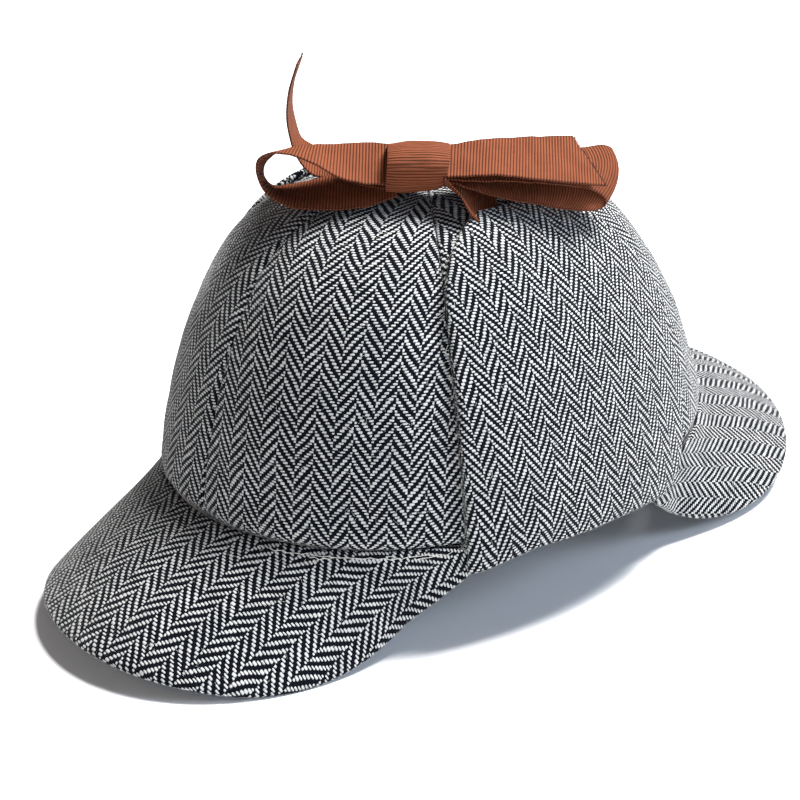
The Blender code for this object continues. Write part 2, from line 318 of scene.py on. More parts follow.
class BowSettings(bpy.types.PropertyGroup):
    """Grosgrain ribbon and its bow"""
    width: length_property("Width", "Width of the ribbon", 20.0 * MM)
    thickness: length_property("Thickness", "Thickness of the ribbon", 0.6 * MM)
    rib_pitch: length_property("Rib pitch", "Distance from rib to rib", 1.0 * MM)
    clearance: length_property("Clearance", "Height of the bow's middle above the crown", 11.7 * MM)
    forward: length_property("Forward", "How far the bow's middle stands ahead of the plain knot's", 5.4 * MM)
    knot_length: length_property("Knot length", "Width of the wound ribbon along the bow", 18.8 * MM)
    knot_depth: length_property("Knot depth", "Knot from front to back", 17.4 * MM)
    knot_height: length_property("Knot height", "Knot from top to bottom", 15.6 * MM)
    # The rib and groove colours paint the ribs' relief: painted light on the crests, painted shade in the
    # grooves
    light: colour_property("Rib colour", "Copper brown on the crests of the ribs", "#7C4329")
    dark: colour_property("Groove colour", "Brown between the ribs", "#2E130A")


class ClothSettings(bpy.types.PropertyGroup):
    """Herringbone cloth"""
    warp_pitch: length_property("Warp pitch", "Distance from warp to warp", 0.725 * MM)
    weft_pitch: length_property("Weft pitch", "Distance from weft to weft", 0.925 * MM)
    light: colour_property("Weft colour", "Off-white wool", "#BCBBB8")
    # Painted shade: the shaded weft colour is the off-white wool darkened where each float rounds down at its
    # ends and edges
    shaded: colour_property("Shaded weft colour", "Off-white wool where it dives under", "#585D63")
    dark: colour_property("Warp colour", "Blue-black wool", "#13161E")
    gap: colour_property("Gap colour", "Shade between the threads", "#020203")


class StudioSettings(bpy.types.PropertyGroup):
    """Camera, lamps and floor"""
    azimuth: bpy.props.FloatProperty(
        name="Azimuth", description="Camera's turn round the hat", default=math.radians(48.67),
        subtype="ANGLE")
    elevation: bpy.props.FloatProperty(
        name="Elevation", description="Camera's height angle", default=math.radians(24.33),
        subtype="ANGLE")
    distance: length_property("Distance", "From the camera to the point it aims at", 609.3 * MM)
    lens: bpy.props.FloatProperty(
        name="Lens", description="Focal length in millimetres", default=78.97, min=1.0)
    floor: colour_property("Floor", "Matt white paper", "#F7F7F7")


def lerp(low, high, share):
    """Value a share of the way from low to high."""
    return low + (high - low) * share


def smoothstep(low, high, value):
    """Share from 0 to 1 that eases in at low and out at high."""
    share = min(max((value - low) / (high - low), 0.0), 1.0)
    return share * share * (3.0 - 2.0 * share)


def smooth_table(rows, share):
    """Read a table at a share of its run, on a smooth curve through its rows."""
    place = share * (len(rows) - 1)
    index = min(int(place), len(rows) - 2)
    step = place - index
    before = rows[max(index - 1, 0)]
    after = rows[min(index + 2, len(rows) - 1)]
    values = []
    for a, b, c, d in zip(before, rows[index], rows[index + 1], after):
        bend = (c - a) * step + (2 * a - 5 * b + 4 * c - d) * step ** 2 + (3 * b - a - 3 * c + d) * step ** 3
        values.append(b + 0.5 * bend)
    return values


def crown_origin():
    """Foot of the crown's middle in the row frame, read from the panel on the wearer's left."""
    low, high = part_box("crown_panel_2")
    return Vector((0.0, 0.5 * (low.y + high.y), low.z - bpy.context.scene.hat_crown.edge_height))


def head_edge_height(turn):
    """Height of the head edge above the crown's foot at a turn in radians."""
    forward = math.cos(turn)
    arch = BROW_ARCH if forward > 0.0 else NAPE_ARCH
    return bpy.context.scene.hat_crown.edge_height + arch * forward * forward


def crown_shares(climb):
    """How far a climb has risen, and how wide the crown still is, as shares."""
    lift = math.sin(climb * math.pi / 2.0) ** (2.0 / CROWN_SIDE_POWER)
    ring = max(math.cos(climb * math.pi / 2.0), 0.0) ** (2.0 / CROWN_PLAN_POWER)
    return lift, ring


def crown_point(turn, climb, proud=0.0):
    """Point on the crown's outside. Proud is an offset outwards."""
    crown = bpy.context.scene.hat_crown
    lift, ring = crown_shares(climb)
    low = head_edge_height(turn)
    point = Vector((
        (crown.half_width + proud) * ring * math.sin(turn),
        -(crown.half_length + proud) * ring * math.cos(turn) - crown.forward_lean * lift,
        lerp(low, crown.edge_height + crown.rise + proud, lift),
    ))
    return point + outward(turn) * crown_swell(turn, climb)


def crown_swell(turn, climb):
    """How far the fuller quarters of the crown stand out past its plain form."""
    degrees = abs((math.degrees(turn) + 180.0) % 360.0 - 180.0)
    total = 0.0
    for middle, spread, swell, low, high in SWELLS:
        bell = math.exp(-((degrees - middle) / spread) ** 2)
        total += swell * bell * smoothstep(-0.6 * low, low, climb) * (1.0 - smoothstep(high, 0.97, climb))
    return total


def crown_height_at(across, along):
    """Height of the crown's outside above a point of the floor, found by repeated correction."""
    crown = bpy.context.scene.hat_crown
    lift = 1.0
    for _ in range(8):
        forward = (along + crown.forward_lean * lift) / crown.half_length
        ring = min(math.hypot(across / crown.half_width, forward), 1.0)
        lift = (1.0 - ring ** CROWN_PLAN_POWER) ** (1.0 / CROWN_SIDE_POWER)
    return crown.edge_height + crown.rise * lift


def plan_arc(start, end):
    """Distance round the head edge between two turns in radians."""
    crown = bpy.context.scene.hat_crown
    steps = 12
    total = 0.0
    for step in range(steps):
        turn = lerp(start, end, (step + 0.5) / steps)
        total += math.hypot(crown.half_width * math.cos(turn), crown.half_length * math.sin(turn))
    return total / steps * (end - start)


def climb_profile(turn, last_climb):
    """Distances up the crown at a turn, and the climbs that they reach, with fine steps near the top."""
    steps = 240
    climbs = [last_climb * (1.0 - (1.0 - step / steps) ** 3) for step in range(steps + 1)]
    distances = [0.0]
    for low, high in zip(climbs, climbs[1:]):
        distances.append(distances[-1] + (crown_point(turn, high) - crown_point(turn, low)).length)
    return distances, climbs


def climb_at(profile, distance):
    """Climb that a distance up the crown reaches."""
    distances, climbs = profile
    index = min(max(bisect.bisect_right(distances, distance), 1), len(distances) - 1)
    share = (distance - distances[index - 1]) / (distances[index] - distances[index - 1])
    return min(max(lerp(climbs[index - 1], climbs[index], share), 0.0), climbs[-1])


def outward(turn):
    """Level direction square to the head edge, pointing away from the head."""
    crown = bpy.context.scene.hat_crown
    return Vector((math.sin(turn) / crown.half_width, -math.cos(turn) / crown.half_length, 0.0)).normalized()


def dent(point, wavelength, depth):
    """Soft unevenness of worn cloth."""
    return depth * noise.noise(point / wavelength)


def grid_lines(count, rim):
    """Lines across a sheet: share across, share of full thickness, and share measured round the rims."""
    rim = min(rim, NARROWEST_RIM_SHARE)
    lines = []
    for index in range(count + 1):
        step = min(index, count - index)
        if step < RIM_STEPS:
            angle = 0.5 * math.pi * step / RIM_STEPS
            share = rim * (1.0 - math.cos(angle))
            full = math.sin(angle)
            laid = rim * (1.0 + angle - 0.5 * math.pi)
        else:
            share = lerp(rim, 0.5, (step - RIM_STEPS) / (0.5 * count - RIM_STEPS))
            full = 1.0
            laid = share
        if 2 * index > count:
            share = 1.0 - share
            laid = 1.0 - laid
        lines.append((share, full, laid))
    return lines


def make_sheet(name, rows, thickness, material, middle=False):
    """Closed sheet with round rims, through rows of points on its outer side or, if middle, inside it."""
    columns = len(rows[0])
    cells = [cell for row in rows for cell in row]
    origin = crown_origin()
    layers = []
    for side in (1.0, -1.0):
        bpy.ops.object.select_all(action="DESELECT")
        bpy.ops.mesh.primitive_grid_add(x_subdivisions=columns - 1, y_subdivisions=len(rows) - 1, size=1.0)
        layer = bpy.context.object
        mesh = layer.data
        if len(mesh.vertices) != len(cells):
            raise RuntimeError(f"{name}: the grid has {len(mesh.vertices)} points for {len(cells)} places")
        mesh.vertices.foreach_set("co", [value for point, _, _ in cells for value in point])
        mesh.update()
        normals = [vertex.normal.copy() for vertex in mesh.vertices]
        if middle:
            sink = 0.0
        else:
            leaning = sum(normal.dot(cell[0]) for normal, cell in zip(normals, cells))
            sink = math.copysign(0.5 * thickness, leaning)
        places = [
            point + origin + normal * (side * 0.5 * thickness * full - sink)
            for (point, full, _), normal in zip(cells, normals)
        ]
        mesh.vertices.foreach_set("co", [value for place in places for value in place])
        laid = mesh.attributes.new("weave", "FLOAT_VECTOR", "POINT")
        laid.data.foreach_set("vector", [value for _, _, (u, v) in cells for value in (u, v, 0.0)])
        if side < 0.0:
            bpy.ops.object.mode_set(mode="EDIT")
            bpy.ops.mesh.select_all(action="SELECT")
            bpy.ops.mesh.flip_normals()
            bpy.ops.object.mode_set(mode="OBJECT")
        layers.append(layer)
    for layer in layers:
        layer.select_set(True)
    piece = layers[0]
    bpy.context.view_layer.objects.active = piece
    bpy.ops.object.join()
    bpy.ops.object.mode_set(mode="EDIT")
    bpy.ops.mesh.select_all(action="SELECT")
    bpy.ops.mesh.remove_doubles(threshold=WELD_DISTANCE)
    bpy.ops.object.mode_set(mode="OBJECT")
    bpy.ops.object.shade_smooth()
    dress(piece, name, material)
    return piece


def dress(piece, node, material):
    """Name a finished piece, give it its material and let it stand for its plain solid."""
    ending, slot = LOOKS[material.name]
    piece.name = f"{node}_{ending}"
    piece.data.name = piece.name
    piece.data.materials.clear()
    piece.data.materials.append(material)
    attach(piece, "root")
    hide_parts(node)


def add_node(tree, kind, inputs=(), **settings):
    """Add a shader node, set its properties, and fill or link its sockets."""
    node = tree.nodes.new(kind)
    for key, value in settings.items():
        setattr(node, key, value)
    for socket, value in dict(inputs).items():
        if isinstance(value, bpy.types.NodeSocket):
            tree.links.new(value, node.inputs[socket])
        else:
            node.inputs[socket].default_value = value
    return node


def noise_value(tree, vector, scale, detail):
    """Soft random value over a vector, as a socket."""
    inputs = {"Vector": vector, "Scale": scale, "Detail": detail}
    return add_node(tree, "ShaderNodeTexNoise", inputs).outputs["Fac"]


def mix_colours(tree, share, low, high):
    """Colour a share of the way from low to high, as a socket."""
    return add_node(tree, "ShaderNodeMix", {6: low, 7: high, 0: share}, data_type="RGBA").outputs[2]


def node_material(name, surface):
    """Material whose surface is worked out by a function of its node tree, made once."""
    if name not in bpy.data.materials:
        material = bpy.data.materials.new(name)
        material.use_nodes = True
        tree = material.node_tree
        tree.nodes.clear()
        shader = add_node(tree, "ShaderNodeBsdfPrincipled", surface(tree))
        add_node(tree, "ShaderNodeOutputMaterial", {"Surface": shader.outputs[0]})
    return bpy.data.materials[name]


THREAD_STEPS = (
    # result, operation, terms
    ("warp_place", "DIVIDE", "across", "warp_pitch"),
    ("weft_place", "DIVIDE", "along", "weft_pitch"),
    ("warp", "FLOOR", "warp_place"),
    ("weft", "FLOOR", "weft_place"),
    ("warp_in", "FRACT", "warp_place"),
    ("weft_in", "FRACT", "weft_place"),
    ("stripe_place", "DIVIDE", "warp", WARPS_IN_STRIPE),
    ("stripe", "FLOOR", "stripe_place"),
    ("back", "FLOORED_MODULO", "stripe", 2.0),
    ("heading", "MULTIPLY_ADD", "back", -2.0, 1.0),
    ("slant", "MULTIPLY_ADD", "warp", "heading", "weft"),
    ("slant_cut", "ADD", "slant", "back"),
    ("phase", "FLOORED_MODULO", "slant_cut", TWILL_REPEAT),
    ("weft_over", "LESS_THAN", "phase", 1.5),
    ("warp_over", "SUBTRACT", 1.0, "weft_over"),
    ("second", "FLOORED_MODULO", "phase", 2.0),
    ("weft_second", "MULTIPLY_ADD", "second", "heading", "back"),
    ("weft_run", "ADD", "weft_second", "warp_in"),
    ("weft_long", "SUBTRACT", "weft_run", 1.0),
    ("weft_wide", "MULTIPLY_ADD", "weft_in", 2.0, -1.0),
    ("warp_run", "ADD", "second", "weft_in"),
    ("warp_long", "SUBTRACT", "warp_run", 1.0),
    ("warp_wide", "MULTIPLY_ADD", "warp_in", 2.0, -1.0),
    ("weft_long_size", "ABSOLUTE", "weft_long"),
    ("warp_long_size", "ABSOLUTE", "warp_long"),
)
FLOAT_STEPS = (
    # result, operation, terms
    ("weft_thin", "MULTIPLY_ADD", "slub", -2.4, 2.45),
    ("weft_side", "MULTIPLY", "weft_wide", "weft_thin"),
    ("weft_side_2", "MULTIPLY", "weft_side", "weft_side"),
    ("weft_long_6", "POWER", "weft_long_size", 6.0),
    ("weft_far", "ADD", "weft_side_2", "weft_long_6"),
    ("weft_left", "SUBTRACT", 1.0, "weft_far"),
    ("weft_round", "MAXIMUM", "weft_left", 0.0),
    ("weft_dome", "SQRT", "weft_round"),
    ("weft_high", "MULTIPLY", "weft_dome", "weft_over"),
    ("warp_side_2", "MULTIPLY", "warp_wide", "warp_wide"),
    ("warp_long_4", "POWER", "warp_long_size", 4.0),
    ("warp_far", "ADD", "warp_side_2", "warp_long_4"),
    ("warp_left", "SUBTRACT", 1.0, "warp_far"),
    ("warp_round", "MAXIMUM", "warp_left", 0.0),
    ("warp_dome", "SQRT", "warp_round"),
    ("warp_high", "MULTIPLY", "warp_dome", "warp_over"),
    ("relief", "MULTIPLY_ADD", "warp_high", 0.75, "weft_high"),
    ("fuzzy_relief", "MULTIPLY_ADD", "fibre", 0.35, "relief"),
    ("mottle", "MULTIPLY_ADD", "fibre", 1.3, 0.3),
    ("warp_worn", "MULTIPLY_ADD", "fibre", 1.8, -0.2),
    # Painted shade: the warp darkens from its colour to the gap's near black towards the ends and edges of
    # each float, mottled by fibres
    ("warp_shade_and_mottle", "MULTIPLY", "warp_high", "warp_worn"),
    ("bleach", "MULTIPLY_ADD", "patch", 0.9, 0.55),
    # Painted shade: the weft fades from its off-white to its shaded colour towards the ends and edges of each
    # float, mottled by fibres and by paler and darker patches
    ("weft_shade_and_mottle", "MULTIPLY", "weft_high", "mottle"),
    ("tone", "MULTIPLY", "weft_shade_and_mottle", "bleach"),
)


def follow(tree, steps, values):
    """Add the sums of a table in order. A term is a number or the name of an earlier result."""
    for result, operation, *terms in steps:
        inputs = {slot: values.get(term, term) for slot, term in enumerate(terms)}
        values[result] = add_node(tree, "ShaderNodeMath", inputs, operation=operation).outputs[0]


def wool_surface(tree):
    """Woollen 2/2 twill, off-white over blue-black: the eye sees short pale dashes in zigzag ribs."""
    cloth = bpy.context.scene.hat_cloth
    laid = add_node(tree, "ShaderNodeAttribute", attribute_name="weave").outputs["Vector"]
    # Threads wander by up to half a millimetre over every 12 mm
    wander = add_node(tree, "ShaderNodeTexNoise", {"Vector": laid, "Scale": 1.0 / (12.0 * MM), "Detail": 1.0})
    centred = add_node(tree, "ShaderNodeVectorMath", {
        0: wander.outputs["Color"], 1: (0.5, 0.5, 0.5)}, operation="SUBTRACT")
    moved = add_node(tree, "ShaderNodeVectorMath", {
        0: centred.outputs[0], 1: (1.7 * MM, 1.7 * MM, 0.0), 2: laid}, operation="MULTIPLY_ADD")
    place = add_node(tree, "ShaderNodeSeparateXYZ", {0: moved.outputs[0]})
    values = {
        "across": place.outputs["X"],
        "along": place.outputs["Y"],
        "warp_pitch": cloth.warp_pitch,
        "weft_pitch": cloth.weft_pitch,
    }
    follow(tree, THREAD_STEPS, values)
    # Slubs: each weft swells and thins along its run, over about 5 mm
    own = add_node(tree, "ShaderNodeCombineXYZ", {"X": values["warp_place"], "Y": values["weft"]})
    spread = add_node(tree, "ShaderNodeVectorMath", {
        0: own.outputs[0], 1: (0.15, 3.7, 0.0)}, operation="MULTIPLY")
    values["slub"] = noise_value(tree, spread.outputs[0], 1.0, 2.0)
    # Fibres: a mottle a third of a thread wide, and paler and darker patches about 9 mm wide
    values["fibre"] = noise_value(tree, laid, 1.0 / (0.3 * MM), 2.0)
    values["patch"] = noise_value(tree, laid, 1.0 / (9.0 * MM), 2.0)
    follow(tree, FLOAT_STEPS, values)
    # Painted shade on every float: the weft and the warp darken towards their rounded ends and edges
    weft_colour = mix_colours(tree, values["tone"], list(cloth.shaded), list(cloth.light))
    # Painted shade: the warp runs from its blue-black down to the near-black gap towards its float's edges
    warp_colour = mix_colours(tree, values["warp_shade_and_mottle"], list(cloth.gap), list(cloth.dark))
    shown = add_node(tree, "ShaderNodeMapRange", {
        "Value": values["weft_high"], "From Min": 0.02, "From Max": 0.40}, interpolation_type="SMOOTHSTEP")
    bump = add_node(tree, "ShaderNodeBump", {
        "Height": values["fuzzy_relief"], "Distance": 0.22 * MM, "Strength": 0.8})
    return {
        "Base Color": mix_colours(tree, shown.outputs[0], warp_colour, weft_colour),
        "Roughness": 0.92,
        "Specular IOR Level": 0.04,
        "Sheen Weight": 0.30,
        "Sheen Roughness": 0.2,
        "Normal": bump.outputs[0],
    }


RIB_STEPS = (
    # result, operation, terms
    ("rib_place", "DIVIDE", "along", "rib_pitch"),
    ("rib_in", "FRACT", "rib_place"),
    ("rib_side", "MULTIPLY_ADD", "rib_in", 2.0, -1.0),
    ("rib_side_2", "MULTIPLY", "rib_side", "rib_side"),
    ("rib_high", "SUBTRACT", 1.0, "rib_side_2"),
    ("end_place", "DIVIDE", "across", 0.32 * MM),
    ("end_turn", "MULTIPLY", "end_place", 2.0 * math.pi),
    ("end_wave", "SINE", "end_turn"),
    ("end_relief", "MULTIPLY_ADD", "end_wave", 0.06, "rib_high"),
    ("relief", "MULTIPLY_ADD", "fibre", 0.25, "end_relief"),
    ("worn", "MULTIPLY_ADD", "fibre", 0.6, 0.55),
    # Painted shade: rib_high runs the colour from the groove colour between the ribs up to the rib colour on
    # their crests, mottled by fibres
    ("shade", "MULTIPLY", "rib_high", "worn"),
    ("tone", "MULTIPLY_ADD", "own", 0.3, "shade"),
    ("edge_size", "ABSOLUTE", "across"),
    ("edge_near", "SUBTRACT", "edge_size", "selvedge"),
    ("edge", "GREATER_THAN", "edge_near", 0.0),
    ("edge_loss", "MULTIPLY_ADD", "edge", 0.35, 0.08),
    ("tone_low", "SUBTRACT", "tone", "edge_loss"),
)


def rayon_surface(tree):
    """Rayon grosgrain over thick cross cords: the eye sees soft copper ribs with brown grooves, their light
    and shade partly painted into the colour.
    """
    bow = bpy.context.scene.hat_bow
    laid = add_node(tree, "ShaderNodeAttribute", attribute_name="weave").outputs["Vector"]
    place = add_node(tree, "ShaderNodeSeparateXYZ", {0: laid})
    values = {
        "across": place.outputs["X"],
        "along": place.outputs["Y"],
        "rib_pitch": bow.rib_pitch,
        "selvedge": 0.47 * bow.width,
        "fibre": noise_value(tree, laid, 1.0 / (0.35 * MM), 3.0),
        "own": noise_value(tree, laid, 1.0 / (6.0 * MM), 2.0),
    }
    follow(tree, RIB_STEPS, values)
    bump = add_node(tree, "ShaderNodeBump", {
        "Height": values["relief"], "Distance": 0.32 * MM, "Strength": 0.85})
    return {
        "Base Color": mix_colours(tree, values["tone_low"], list(bow.dark), list(bow.light)),
        "Roughness": 0.75,
        "Specular IOR Level": 0.12,
        "Sheen Weight": 0.05,
        "Sheen Roughness": 0.4,
        "Sheen Tint": linear("#D98A5C"),
        "Normal": bump.outputs[0],
    }


def paper_surface(tree):
    """Matt white paper backdrop: the eye sees an even white ground that takes soft shadows."""
    return {
        "Base Color": list(bpy.context.scene.hat_studio.floor),
        "Roughness": 0.9,
        "Specular IOR Level": 0.1,
    }


def fibre_surface(tree, code):
    """Fibres that stand off the cloth or a cut end: the eye sees a faint haze and a few hairs."""
    place = add_node(tree, "ShaderNodeTexCoord").outputs["Object"]
    uneven = noise_value(tree, place, 1.0 / (3.0 * MM), 1.0)
    shaded = [0.55 * part for part in linear(code)[:3]] + [1.0]
    return {
        "Base Color": mix_colours(tree, uneven, shaded, linear(code)),
        "Roughness": 0.8,
        "Specular IOR Level": 0.2,
    }


def panel_rows(index):
    """One gore, which narrows to the crown's top and sinks a little at its two seams."""
    crown = bpy.context.scene.hat_crown
    width = 2.0 * math.pi / PANEL_COUNT
    first = width * index
    middle = first + 0.5 * width
    last_climb = math.acos((APEX_RADIUS / crown.half_width) ** (CROWN_PLAN_POWER / 2.0)) * 2.0 / math.pi
    profile = climb_profile(middle, last_climb)
    height = profile[0][-1]
    rim = 0.5 * crown.wall
    arcs = plan_arc(first, first + width)
    rows = []
    for up, up_full, up_laid in grid_lines(PANEL_CELLS[1], rim / height):
        climb = climb_at(profile, height * up)
        ring = crown_shares(climb)[1]
        row = []
        for across, full, laid in grid_lines(PANEL_CELLS[0], rim / (arcs * ring)):
            turn = first + width * across
            dip = crown.seam_dip * (1.0 - math.sin(math.pi * across)) ** 3 * min(1.0, 4.0 * ring)
            point = crown_point(turn, climb, -dip)
            soft = dent(point, DENT_WAVE, crown.unevenness)
            soft += dent(point, FINE_DENT_WAVE, FINE_DENT_SHARE * crown.unevenness)
            tuck = crown.hem_tuck * (1.0 - smoothstep(0.0, crown.hem_height, height * up))
            point += outward(turn) * (soft * min(1.0, 2.0 * ring) - tuck)
            u = plan_arc(middle, first + width * laid) * ring
            row.append((point, full * up_full, (u, height * up_laid)))
        rows.append(row)
    return rows


def peak_rows(shape, rear):
    """Peak from its seam under the head edge out to its free edge."""
    unevenness = bpy.context.scene.hat_crown.unevenness
    rim = 0.5 * bpy.context.scene.hat_brim.peak_thickness
    around = 2.0 * plan_arc(0.0, math.radians(shape["half_turn"]))
    across_stretch, along_stretch = shape["stretch"]
    rows = []
    for across, full, laid in grid_lines(PEAK_CELLS[0], rim / around):
        side = lerp(-PEAK_END_SHARE, PEAK_END_SHARE, across)
        turn = math.radians(shape["half_turn"] * side)
        if rear:
            turn = math.pi - turn
        fullness = math.cos(side * math.pi / 2.0)
        length = shape["length"] * fullness ** (shape["roundness"] + shape["skew"] * side)
        length *= 1.0 - abs(side) ** shape["taper"]
        droop = lerp(shape["droop"], shape["side_droop"], side * side) + shape["twist"] * side
        droop = math.radians(min(droop, PEAK_STEEPEST))
        start = crown_point(turn, 0.0)
        whole = length + PEAK_TUCK
        row = []
        for share, out_full, out_laid in grid_lines(PEAK_CELLS[1], rim / whole):
            reach = whole * share - PEAK_TUCK
            out = max(reach / length, 0.0)
            point = start + outward(turn) * (reach * math.cos(droop) if reach > 0.0 else reach)
            point.z += shape["crest"] * 4.0 * out * (1.0 - out) * fullness - length * out * math.sin(droop)
            point.z += lerp(PEAK_OVERLAP, -PEAK_SEAM_GAP, smoothstep(0.0, PEAK_EASE, reach))
            point.z += dent(point, PEAK_DENT_WAVE, unevenness) * out * math.cos(droop)
            flat = start + outward(turn) * (whole * out_laid - PEAK_TUCK)
            row.append((point, full * out_full, (flat.x * across_stretch, -flat.y * along_stretch)))
        rows.append(row)
    return rows


def outline_at(share):
    """Front and rear turn of a flap's outline at a share of its reach, on a smooth curve through the rows."""
    rows = FLAP_OUTLINE
    index = min(max(bisect.bisect_right([row[0] for row in rows], share), 1), len(rows) - 1)
    low, high = rows[index - 1], rows[index]
    before = rows[max(index - 2, 0)]
    after = rows[min(index + 1, len(rows) - 1)]
    span = high[0] - low[0]
    step = (share - low[0]) / span
    turns = []
    for side in (1, 2):
        start_slope = (high[side] - before[side]) / (high[0] - before[0]) * span
        end_slope = (after[side] - low[side]) / (after[0] - low[0]) * span
        turns.append(
            low[side] * (2 * step ** 3 - 3 * step ** 2 + 1) + start_slope * (step ** 3 - 2 * step ** 2 + step)
            + high[side] * (3 * step ** 2 - 2 * step ** 3) + end_slope * (step ** 3 - step ** 2))
    return turns


def flap_rows():
    """The wearer's left ear flap, from its fold below the head edge up to its tip."""
    brim = bpy.context.scene.hat_brim
    crown = bpy.context.scene.hat_crown
    rim = 0.5 * brim.flap_thickness
    proud = brim.flap_gap + brim.flap_thickness
    middle = math.radians(FLAP_MIDDLE_TURN)
    profile = climb_profile(middle, FLAP_REACH)
    height = profile[0][-1] + brim.flap_hang
    rows = []
    for up, up_full, up_laid in grid_lines(FLAP_CELLS[1], rim / height):
        risen = height * up - brim.flap_hang
        climb = climb_at(profile, max(risen, 0.0))
        ring = crown_shares(climb)[1]
        front, rear = (math.radians(turn) for turn in outline_at(climb / FLAP_REACH))
        front_low = 1.0 - smoothstep(0.0, 0.2, up)
        rear_low = 1.0 - smoothstep(0.0, 0.25, up)
        row = []
        for across, full, laid in grid_lines(FLAP_CELLS[0], rim / (plan_arc(front, rear) * ring)):
            turn = lerp(front, rear, across)
            point = crown_point(turn, climb, proud)
            point.z += min(risen, 0.0)
            point.z -= brim.corner_hang * (1.0 - smoothstep(0.0, 0.3, across)) * front_low
            point.z -= brim.rear_corner_hang * smoothstep(0.6, 1.0, across) * rear_low
            point += outward(turn) * dent(point, FLAP_DENT_WAVE, crown.unevenness) * up * (1.0 - up)
            u = plan_arc(middle, lerp(front, rear, laid)) * ring * FLAP_EASE
            row.append((point, full * up_full, (u, height * up_laid)))
        rows.append(row)
    return rows


def mirrored(rows):
    """The same rows on the wearer's other side."""
    return [
        [(Vector((-point.x, point.y, point.z)), full, (-u, v)) for point, full, (u, v) in reversed(row)]
        for row in rows
    ]


def bow_centre():
    """Middle of the bow, above and a little ahead of the middle of its plain knot."""
    low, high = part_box("bow_knot")
    origin = crown_origin()
    left = 0.5 * (low.x + high.x)
    back = 0.5 * (low.y + high.y) - origin.y
    bow = bpy.context.scene.hat_bow
    place = Vector((left, back, crown_height_at(left, back) + bow.clearance))
    return place + bow_directions()[1] * bow.forward


def bow_directions():
    """Level directions from the knot towards the rear loop, and towards the side that the bow faces."""
    heading = math.radians(BOW_HEADING)
    run = Vector((math.sin(heading), math.cos(heading), 0.0))
    face = Vector((math.cos(heading), -math.sin(heading), 0.0))
    return run, face


def bow_line(centre, half, out):
    """Place, run and facing of a half of the bow at a share of its reach."""
    sizes = BOW_HALVES[half]
    run, face = bow_directions()
    if half == "front":
        run = -run
    place = centre + run * (sizes["reach"] * out) - face * (sizes["swing"] * out * out)
    place.z -= sizes["fall"] * out * out
    turned = (run * (2.0 * sizes["swing"] * out) + face * sizes["reach"]).normalized()
    return place, run, turned


def ribbon_rows(name):
    """Ribbon through the stations of its table, gathered where it enters the knot."""
    half, table = RIBBON_PIECES[name]
    *shift, end_lean = RIBBON_SKEWS[name]
    bow = bpy.context.scene.hat_bow
    rim = 0.5 * bow.thickness
    centre = bow_centre()
    rough = [ribbon_point(centre, half, table, step / 100.0, 0.0, (0.0, 0.0)) for step in range(101)]
    length = sum((high - low).length for low, high in zip(rough, rough[1:]))
    rows = []
    travelled = 0.0
    last = None
    for along, along_full, _ in grid_lines(RIBBON_CELLS[1], rim / length):
        middle = ribbon_point(centre, half, table, along, 0.0, shift)
        rib_lean = end_lean * smooth_table(table, along)[0]
        travelled += (middle - last).length if last else 0.0
        last = middle
        row = []
        for across, full, laid in grid_lines(RIBBON_CELLS[0], rim / bow.width):
            point = ribbon_point(centre, half, table, along, across - 0.5, shift)
            run = travelled - rib_lean * (laid - 0.5)
            row.append((point, full * along_full, (bow.width * (laid - 0.5), run)))
        rows.append(row)
    return rows


def ribbon_point(centre, half, table, along, edge, shift):
    """Point of a ribbon at a share of its run, edge being its share of the width from the middle."""
    slant, bulge = shift
    bow = bpy.context.scene.hat_bow
    out, rise, approach, lean = smooth_table(table, along)
    point, run, face = bow_line(centre, half, out)
    lean = math.radians(lean)
    across = Vector((0.0, 0.0, math.cos(lean))) - face * math.sin(lean)
    over = face * math.cos(lean) + Vector((0.0, 0.0, math.sin(lean)))
    gather = 1.0 - smoothstep(GATHER_FROM, GATHER_TO, out)
    width = bow.width * (1.0 - GATHER_SHARE * gather)
    fold = GATHER_FOLDS * gather * math.cos(3.0 * math.pi * edge)
    ripple = RIPPLE * noise.noise(Vector((14.0 * out, 2.0 * edge, rise * 3.0)))
    point += face * (bow.width * approach) + across * (width * edge) + over * (fold + ripple)
    point += run * ((bulge * (1.0 - 4.0 * edge * edge) - slant * edge) * smoothstep(0.3, 0.95, out))
    point.z += bow.width * rise
    return point


def tie_rows(side):
    """Ribbon from the tip of the left flap, 1, or the right, -1, up into the knot, where it gathers."""
    bow = bpy.context.scene.hat_bow
    rim = 0.5 * bow.thickness
    middle_turn = math.radians(0.5 * (FLAP_OUTLINE[-1][1] + FLAP_OUTLINE[-1][2]))
    tip = crown_point(middle_turn, FLAP_REACH)
    tip.x *= side
    knot = bow_centre()
    run, face = bow_directions()
    rear_end, front_end = (knot + run * a + face * b + Vector((0.0, 0.0, c)) for a, b, c in TIE_ENDS[side])
    ahead = Vector((knot.x - tip.x, knot.y - tip.y, 0.0))
    length = ahead.length - TIE_START
    ahead.normalize()
    aside = Vector((ahead.y, -ahead.x, 0.0)) * -side
    rows = []
    for along, along_full, _ in grid_lines(TIE_STEPS, rim / length):
        row = []
        for across, full, laid in grid_lines(RIBBON_CELLS[0], rim / bow.width):
            sewn = tip + ahead * TIE_START + aside * (bow.width * (across - 0.5))
            lying = sewn + ahead * (length * along)
            for place in (sewn, lying):
                place.z = crown_height_at(place.x, place.y) + TIE_LIFT + rim
            straight = sewn.lerp(rear_end.lerp(front_end, across), along)
            point = lying.lerp(straight, smoothstep(0.0, 0.75, along))
            point.z += TIE_GATHERS * along * math.cos(4.0 * math.pi * across)
            point += face * (TIE_SWELLS[side] * math.sin(math.pi * along))
            row.append((point, full * along_full, (bow.width * (laid - 0.5), length * along)))
        rows.append(row)
    return rows


